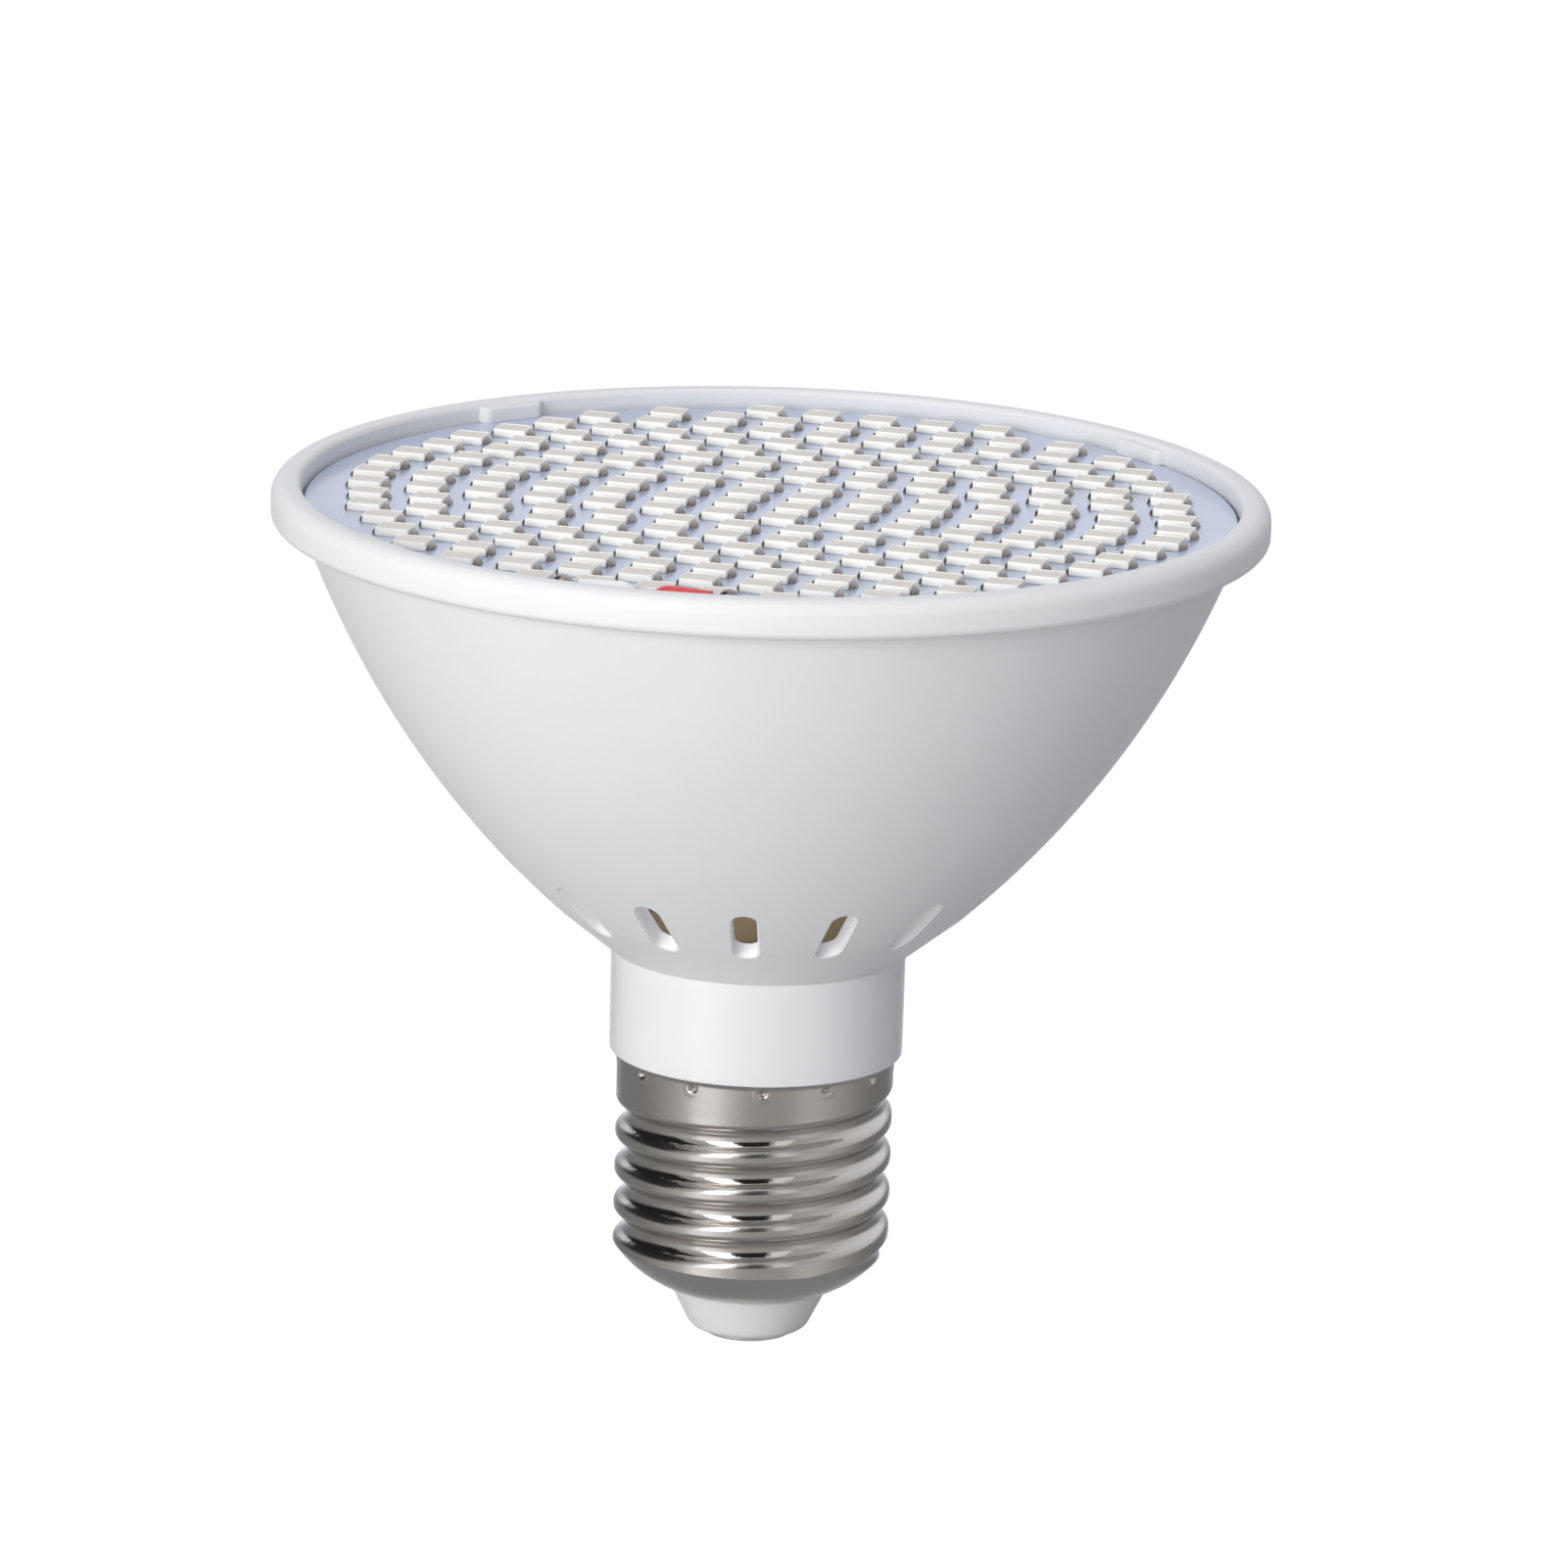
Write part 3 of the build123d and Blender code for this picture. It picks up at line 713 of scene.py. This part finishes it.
# Screw shell
def groove_radius(offset):
    """Radius of the metal at a height offset from a groove's middle."""
    root_centre = CREST_RADIUS - THREAD_DEPTH + THREAD_ARC
    crest_centre = CREST_RADIUS - THREAD_ARC
    distance = abs(offset)
    if distance < THREAD_PITCH / 4:
        return root_centre - sqrt(THREAD_ARC**2 - distance**2)
    beside = THREAD_PITCH / 2 - min(distance, THREAD_PITCH / 2)
    return crest_centre + sqrt(THREAD_ARC**2 - beside**2)


def thread_radius(angle, z, base):
    """Radius of the rolled thread at an angle and height, with its run-outs."""
    turn = angle / (2 * pi)
    nearest = round((z - THREAD_START_Z) / THREAD_PITCH - turn)
    radius = base
    for lap in (nearest - 1, nearest, nearest + 1):
        travel = lap + turn
        past = max(-travel, travel - THREAD_TURNS, 0)
        if past > RUNOUT_TURNS:
            continue
        offset = z - THREAD_START_Z - travel * THREAD_PITCH
        if abs(offset) < THREAD_PITCH / 2:
            radius = min(radius, groove_radius(offset) + RUNOUT_LIFT * past / RUNOUT_TURNS)
    return radius


def crimp_dent(angle, z):
    """Depth of the small crimp marks under the shell's upper edge."""
    dent = 0.0
    for mark_angle in CRIMP_ANGLES:
        mark = radians(mark_angle - 90)
        turn = (angle - mark + pi) % (2 * pi) - pi
        across = turn * CREST_RADIUS
        drop = CAP_TOP_Z - CRIMP_DROP - z
        away = (across**2 + drop**2) / CRIMP_SIZE**2
        if away < CRIMP_FADE:
            dent += CRIMP_DEPTH * (1 - away) * exp(-away)
    return dent


def make_screw_shell():
    """Metal shell: dome, rolled thread, plain skirt with crimp marks and flared lip."""
    base = CREST_RADIUS - CREST_FLAT
    dome = []
    start, end = Vector((SHELL_HOLE, SHELL_HOLE_Z)), Vector((base, DOME_TOP_Z))
    chord = end - start
    outward = Vector((chord.y, -chord.x)).normalized()
    for k in range(DOME_ROWS):
        share = k / DOME_ROWS
        point = start + chord * share + outward * DOME_BULGE * 4 * share * (1 - share)
        dome.append((point.x, point.y))
    lip_z = CAP_TOP_Z - LIP_HEIGHT
    rows = int((lip_z - DOME_TOP_Z) / THREAD_ROW)
    skirt = [(base, DOME_TOP_Z + (lip_z - DOME_TOP_Z) * k / rows) for k in range(rows + 1)]
    lip = []
    for k in range(1, LIP_ROWS + 1):
        share = k / LIP_ROWS
        lip.append((base + LIP_FLARE * share**2, lip_z + LIP_HEIGHT * share * LIP_CURL))
    lip.append((base + LIP_FLARE - LIP_EDGE_ROUND, CAP_TOP_Z))
    lip.append((base + LIP_FLARE - LIP_EDGE_WIDTH, CAP_TOP_Z))
    inside = [
        (SHELL_BORE, CAP_TOP_Z),
        (SHELL_BORE, DOME_TOP_Z + SHELL_GAUGE),
        (SHELL_HOLE, SHELL_HOLE_Z + SHELL_GAUGE),
    ]
    outline = dome + skirt + lip + inside
    worked = len(dome) + len(skirt) + CRIMP_LIP_ROWS
    points = []
    for i, (radius, z) in enumerate(outline):
        for j in range(SHELL_STEPS):
            angle = 2 * pi * j / SHELL_STEPS
            r = radius
            if i < worked:
                r = min(radius, thread_radius(angle, z, max(radius, base)))
                if z > lip_z - CRIMP_BAND:
                    r -= crimp_dent(angle, z)
            points.append((r * cos(angle), r * sin(angle), z))
    faces = grid_faces(len(outline), SHELL_STEPS, close_rows=True)
    new_piece("screw_cap", points, faces, "cap_metal", "cap_metal", ("screw_shell",), SHELL_SHARP_ANGLE)


make_screw_shell()


# Insulator and contact
def make_insulator():
    """Moulded cone with a soft lower edge."""
    neck = SHELL_HOLE - INSULATOR_GAP
    flange_z = INSULATOR_TOP_Z - FLANGE_HEIGHT
    outline = rounded_outline(
        [
            (INSULATOR_BORE, INSULATOR_FOOT_Z, 0),
            (INSULATOR_TIP_RADIUS, INSULATOR_FOOT_Z, INSULATOR_FOOT_ROUND),
            (neck, SHELL_HOLE_Z, INSULATOR_NECK_ROUND),
            (neck, flange_z, 0),
            (FLANGE_RADIUS, flange_z, 0),
            (FLANGE_RADIUS, INSULATOR_TOP_Z, 0),
            (INSULATOR_BORE, INSULATOR_TOP_Z, 0),
        ],
        steps=6,
    )
    points, faces = turned(split_long(outline, INSULATOR_STEP), INSULATOR_STEPS)
    new_piece("insulator_cone", points, faces, "insulator_ivory", "insulator_ivory", ("insulator",))


def make_contact():
    """Contact disc with a rolled edge and its rivet."""
    top = INSULATOR_FOOT_Z - CONTACT_GAP
    head_z = RIVET_TOP_Z - RIVET_HEAD_HEIGHT
    outline = rounded_outline(
        [
            (0.0, 0.0, 0),
            (CONTACT_RADIUS, 0.0, CONTACT_EDGE_ROUND),
            (CONTACT_RADIUS, top, CONTACT_TOP_ROUND),
            (RIVET_RADIUS, top, 0),
            (RIVET_RADIUS, head_z, 0),
            (RIVET_HEAD_RADIUS, head_z, 0),
            (RIVET_HEAD_RADIUS, RIVET_TOP_Z, RIVET_HEAD_ROUND),
            (0.0, RIVET_TOP_Z, 0),
        ],
        steps=6,
    )
    points, faces = turned(outline, CONTACT_STEPS)
    new_piece("contact_disc", points, faces, "contact_metal", "contact_metal", ("centre_contact",))


make_insulator()
make_contact()


# Board
def make_board():
    """Round board with a notch for the leads and slightly broken edges."""
    half = NOTCH_WIDTH / 2
    notch_angle = asin(half / BOARD_RADIUS)
    outline = []
    for k in range(BOARD_STEPS + 1):
        angle = -pi / 2 + notch_angle + (2 * pi - 2 * notch_angle) * k / BOARD_STEPS
        outline.append((BOARD_RADIUS * cos(angle), BOARD_RADIUS * sin(angle)))
    outline += [(-half, -NOTCH_INNER_RADIUS), (half, -NOTCH_INNER_RADIUS)]
    levels = [
        (BOARD_BOTTOM_Z, 1 - BOARD_EDGE / BOARD_RADIUS),
        (BOARD_BOTTOM_Z + BOARD_EDGE, 1),
        (BOARD_TOP_Z - BOARD_EDGE, 1),
        (BOARD_TOP_Z, 1 - BOARD_EDGE / BOARD_RADIUS),
    ]
    points = [on_board(x * scale, y * scale, z) for z, scale in levels for x, y in outline]
    count = len(outline)
    faces = grid_faces(len(levels), count) + end_faces(len(levels), count)
    new_piece("diode_board", points, faces, "board_white", "board_white", ("led_board",))


make_board()


# Diodes
def diode_places():
    """Middle of each diode in the board's own frame."""
    for row, gap in enumerate(DIODE_EDGE_GAPS):
        row_y = (row + 0.5) * DIODE_ROW_PITCH
        reach = row_y + DIODE_WIDTH / 2
        last_x = sqrt((BOARD_RADIUS - gap) ** 2 - reach**2) - DIODE_LENGTH / 2
        steps = int(2 * last_x / DIODE_LEAST_SPACING)
        for side in (-1, 1):
            for index in range(steps + 1):
                yield last_x * (2 * index / steps - 1), side * row_y


def box_rings(levels, corner):
    """Stacked rounded rectangles from (length, width, height) levels, as points and faces."""
    points = []
    for length, width, z in levels:
        outline = rounded_outline(
            [
                (length / 2, width / 2, corner),
                (-length / 2, width / 2, corner),
                (-length / 2, -width / 2, corner),
                (length / 2, -width / 2, corner),
            ],
            steps=3,
        )
        points += [(x, y, z) for x, y in outline]
    count = len(points) // len(levels)
    return points, grid_faces(len(levels), count) + end_faces(len(levels), count)


def body_template():
    """Moulded package with a shallow well for the window."""
    foot_length, foot_width = BODY_LENGTH - 2 * BODY_UNDERCUT, BODY_WIDTH - 2 * BODY_UNDERCUT
    return box_rings(
        [
            (foot_length, foot_width, 0.0),
            (foot_length, foot_width, BODY_FOOT),
            (BODY_LENGTH, BODY_WIDTH, BODY_FOOT),
            (BODY_LENGTH, BODY_WIDTH, BODY_HEIGHT - BODY_EDGE),
            (BODY_LENGTH - BODY_EDGE, BODY_WIDTH - BODY_EDGE, BODY_HEIGHT),
            (WINDOW_LENGTH + WINDOW_RIM, WINDOW_WIDTH + WINDOW_RIM, BODY_HEIGHT),
            (WINDOW_LENGTH, WINDOW_WIDTH, BODY_HEIGHT - WINDOW_DEPTH),
        ],
        BODY_CORNER,
    )


def window_template():
    """Domed gel that fills the well."""
    levels = []
    for k in range(GEL_STEPS + 1):
        shrink = 1 - GEL_SHRINK * k
        z = BODY_HEIGHT - WINDOW_DEPTH + GEL_LIFT + GEL_RISE * k
        levels.append((WINDOW_LENGTH * shrink, WINDOW_WIDTH * shrink, z))
    return box_rings(levels, WINDOW_CORNER)


def fillet_template(side):
    """Solder that climbs one end of a package."""
    points = []
    for i in range(SOLDER_RINGS + 1):
        rise = pi / 2 * i / SOLDER_RINGS
        for j in range(SOLDER_SPOKES + 1):
            angle = -pi / 2 + pi * j / SOLDER_SPOKES
            reach = SOLDER_REACH * cos(rise) * max(cos(angle), 0) ** SOLDER_FOOT_POWER
            points.append(
                (
                    side * (BODY_LENGTH / 2 - SOLDER_OVERLAP + reach),
                    SOLDER_WIDTH / 2 * cos(rise) ** SOLDER_TOP_POWER * sin(angle),
                    SOLDER_HEIGHT * sin(rise),
                )
            )
    faces = []
    columns = SOLDER_SPOKES + 1
    for i in range(SOLDER_RINGS):
        for j in range(SOLDER_SPOKES):
            corner = i * columns + j
            faces.append((corner, corner + 1, corner + columns + 1, corner + columns))
    return points, faces


def at_every_diode(name, templates, material, slot, replaced=()):
    """One mesh that holds a copy of the templates at every diode."""
    points, faces = [], []
    for x, y in diode_places():
        for template_points, template_faces in templates:
            first = len(points)
            points += [on_board(x + px, y + py, BOARD_TOP_Z + pz) for px, py, pz in template_points]
            faces += [tuple(first + k for k in face) for face in template_faces]
    new_piece(name, points, faces, material, slot, replaced)


at_every_diode("diode_packages", [body_template()], "diode_package", "diode_package", ("leds",))
at_every_diode("diode_windows", [window_template()], "diode_window", "diode_package")
at_every_diode("diode_solder", [fillet_template(-1), fillet_template(1)], "solder", "solder")


# Solder joints of the leads
def make_joints():
    """Two domes of solder with a soft foot."""
    points, faces = [], []
    for side in (-1, 1):
        x, y, _ = on_board(side * PAD_OFFSET, -PAD_LINE)
        first = len(points)
        for i in range(JOINT_RINGS + 1):
            share = i / JOINT_RINGS
            radius = JOINT_RADIUS * sqrt(1 - share**JOINT_DOME_POWER)
            z = BOARD_TOP_Z + JOINT_HEIGHT * share**JOINT_RISE_POWER
            for j in range(JOINT_STEPS):
                angle = 2 * pi * j / JOINT_STEPS
                points.append((x + radius * cos(angle), y + radius * sin(angle), z))
        faces += grid_faces(JOINT_RINGS + 1, JOINT_STEPS, first=first)
        faces.append(tuple(first + j for j in range(JOINT_STEPS))[::-1])
    new_piece("lead_joints", points, faces, "solder", "solder", ("lead_solder",))


make_joints()

# Solids that are shown as they are get their finish
for row in frame["record"]["subparts"]:
    solid = frame["nodes"][row["node"]]
    if solid.hide_render:
        continue
    solid.data.materials.clear()
    solid.data.materials.append(materials[row["material_slot"]])


# Camera
def make_camera():
    """Camera that looks at the bulb from a little above, slightly rolled."""
    elevation, roll = radians(CAMERA_ELEVATION), radians(CAMERA_ROLL)
    back = Vector((0, -cos(elevation), sin(elevation)))
    up = Vector((0, sin(elevation), cos(elevation)))
    right = Vector((1, 0, 0))
    turned_right = right * cos(roll) + up * sin(roll)
    turned_up = up * cos(roll) - right * sin(roll)
    middle = (FRAME_PIXELS - 1) / 2
    place = Vector((0, 0, AIM_Z)) + back * CAMERA_DISTANCE
    place -= turned_right * ((AIM_PIXEL[0] - middle) / FOCAL_PIXELS * CAMERA_DISTANCE)
    place += turned_up * ((AIM_PIXEL[1] - middle) / FOCAL_PIXELS * CAMERA_DISTANCE)
    data = bpy.data.cameras.new("camera")
    data.sensor_width = SENSOR_WIDTH
    data.sensor_fit = "HORIZONTAL"
    data.lens = FOCAL_PIXELS / FRAME_PIXELS * SENSOR_WIDTH
    data.clip_start, data.clip_end = CLIP_START, CLIP_END
    camera = bpy.data.objects.new("camera", data)
    bpy.context.scene.collection.objects.link(camera)
    axes = (turned_right, turned_up, back)
    matrix = camera.matrix_world.copy()
    for column, axis in enumerate(axes):
        for row in range(3):
            matrix[row][column] = axis[row]
    for row in range(3):
        matrix[row][3] = place[row] * MM
    camera.matrix_world = matrix
    bpy.context.scene.camera = camera


make_camera()


# Floor, world and lamps
def make_floor():
    """Large pale floor that shows near white and keeps a soft shadow."""
    mesh = bpy.data.meshes.new("floor")
    size = FLOOR_HALF_SIZE
    corners = [(-size, -size, 0), (size, -size, 0), (size, size, 0), (-size, size, 0)]
    mesh.from_pydata(corners, [], [(0, 1, 2, 3)])
    floor = bpy.data.objects.new("floor", mesh)
    floor.location.z = -FLOOR_DROP
    bpy.context.scene.collection.objects.link(floor)
    material = bpy.data.materials.new("floor_white")
    material.use_nodes = True
    tree = material.node_tree
    tree.nodes.clear()
    path = new_node(tree, "ShaderNodeLightPath")
    matt = new_node(tree, "ShaderNodeBsdfDiffuse")
    matt.inputs["Color"].default_value = FLOOR_COLOUR
    glow = new_node(tree, "ShaderNodeEmission")
    glow.inputs["Strength"].default_value = FLOOR_GLOW
    share = new_node(tree, "ShaderNodeMath", operation="MULTIPLY")
    share.inputs[1].default_value = FLOOR_GLOW_SHARE
    mix = new_node(tree, "ShaderNodeMixShader")
    out = new_node(tree, "ShaderNodeOutputMaterial")
    tree.links.new(path.outputs["Is Camera Ray"], share.inputs[0])
    tree.links.new(share.outputs[0], mix.inputs["Fac"])
    tree.links.new(matt.outputs[0], mix.inputs[1])
    tree.links.new(glow.outputs[0], mix.inputs[2])
    tree.links.new(mix.outputs[0], out.inputs["Surface"])
    mesh.materials.append(material)
    floor.visible_glossy = False


def sky_ramp(tree, levels, angle):
    """Ramp of grey levels over the direction round the studio."""
    ramp = new_node(tree, "ShaderNodeValToRGB")
    ramp.color_ramp.interpolation = "LINEAR"
    elements = ramp.color_ramp.elements
    while len(elements) > 1:
        elements.remove(elements[-1])
    for k, (degrees_right, level) in enumerate(levels):
        position = (degrees_right + 180) / 360
        element = elements[0] if k == 0 else elements.new(position)
        element.position = position
        share = min(1, max(0, (abs(degrees_right) - BACK_FROM) / (BACK_FULL - BACK_FROM)))
        tint = [front + (back - front) * share for front, back in zip(FRONT_TINT, BACK_TINT)]
        element.color = (level * tint[0], level * tint[1], level * tint[2], 1)
    tree.links.new(angle, ramp.inputs["Fac"])
    return ramp.outputs["Color"]


def make_world():
    """White to the camera, soft grey light, and a studio with dark gaps in reflections."""
    world = bpy.data.worlds.new("studio")
    bpy.context.scene.world = world
    world.use_nodes = True
    tree = world.node_tree
    tree.nodes.clear()
    place = new_node(tree, "ShaderNodeTexCoord")
    split = new_node(tree, "ShaderNodeSeparateXYZ")
    tree.links.new(place.outputs["Generated"], split.inputs[0])
    flip = new_node(tree, "ShaderNodeMath", operation="MULTIPLY")
    flip.inputs[1].default_value = -1
    tree.links.new(split.outputs["Y"], flip.inputs[0])
    turn = new_node(tree, "ShaderNodeMath", operation="ARCTAN2")
    tree.links.new(split.outputs["X"], turn.inputs[0])
    tree.links.new(flip.outputs[0], turn.inputs[1])
    angle = new_node(tree, "ShaderNodeMapRange")
    angle.inputs["From Min"].default_value = -pi
    angle.inputs["From Max"].default_value = pi
    tree.links.new(turn.outputs[0], angle.inputs["Value"])
    upper = sky_ramp(tree, UPPER_SKY, angle.outputs[0])
    lower = sky_ramp(tree, LOWER_SKY, angle.outputs[0])
    height = new_node(tree, "ShaderNodeMapRange")
    height.inputs["From Min"].default_value = SKY_FROM
    height.inputs["From Max"].default_value = SKY_FULL
    tree.links.new(split.outputs["Z"], height.inputs["Value"])
    glossy = new_node(tree, "ShaderNodeMixRGB")
    tree.links.new(height.outputs[0], glossy.inputs["Fac"])
    tree.links.new(lower, glossy.inputs["Color1"])
    tree.links.new(upper, glossy.inputs["Color2"])
    depth = new_node(tree, "ShaderNodeMapRange")
    depth.inputs["From Min"].default_value = NADIR_FROM
    depth.inputs["From Max"].default_value = NADIR_FULL
    tree.links.new(split.outputs["Z"], depth.inputs["Value"])
    below = new_node(tree, "ShaderNodeMixRGB")
    below.inputs["Color2"].default_value = (NADIR_LEVEL, NADIR_LEVEL, NADIR_LEVEL, 1)
    tree.links.new(depth.outputs[0], below.inputs["Fac"])
    tree.links.new(glossy.outputs[0], below.inputs["Color1"])
    path = new_node(tree, "ShaderNodeLightPath")
    soft = new_node(tree, "ShaderNodeBackground")
    soft.inputs["Color"].default_value = SOFT_LIGHT
    mirror = new_node(tree, "ShaderNodeBackground")
    tree.links.new(below.outputs[0], mirror.inputs["Color"])
    white = new_node(tree, "ShaderNodeBackground")
    white.inputs["Color"].default_value = WHITE
    first = new_node(tree, "ShaderNodeMixShader")
    tree.links.new(path.outputs["Is Glossy Ray"], first.inputs["Fac"])
    tree.links.new(soft.outputs[0], first.inputs[1])
    tree.links.new(mirror.outputs[0], first.inputs[2])
    seen = new_node(tree, "ShaderNodeMath", operation="MAXIMUM")
    tree.links.new(path.outputs["Is Camera Ray"], seen.inputs[0])
    tree.links.new(path.outputs["Is Transmission Ray"], seen.inputs[1])
    second = new_node(tree, "ShaderNodeMixShader")
    tree.links.new(seen.outputs[0], second.inputs["Fac"])
    tree.links.new(first.outputs[0], second.inputs[1])
    tree.links.new(white.outputs[0], second.inputs[2])
    out = new_node(tree, "ShaderNodeOutputWorld")
    tree.links.new(second.outputs[0], out.inputs["Surface"])


def make_lamp(name, place, size, watts, colour):
    """Soft square lamp that points at the bulb and isn't seen in reflections."""
    data = bpy.data.lights.new(name, "AREA")
    data.size = size
    data.energy = watts
    data.color = colour
    lamp = bpy.data.objects.new(name, data)
    lamp.location = place
    aim = Vector((0, 0, AIM_Z * MM)) - Vector(place)
    lamp.rotation_euler = aim.to_track_quat("-Z", "Y").to_euler()
    lamp.visible_glossy = False
    bpy.context.scene.collection.objects.link(lamp)


def make_inner_lamp():
    """Weak lamp in the bell, for the light that its thin white wall lets through."""
    data = bpy.data.lights.new("through_wall", "POINT")
    data.energy = INNER_LAMP_WATTS
    data.shadow_soft_size = INNER_LAMP_RADIUS * MM
    lamp = bpy.data.objects.new("through_wall", data)
    lamp.location = tuple(value * MM for value in INNER_LAMP_PLACE)
    lamp.visible_glossy = False
    bpy.context.scene.collection.objects.link(lamp)


make_floor()
make_world()
for lamp_values in LAMPS:
    make_lamp(*lamp_values)
make_inner_lamp()

bpy.context.scene.view_settings.view_transform = "Standard"
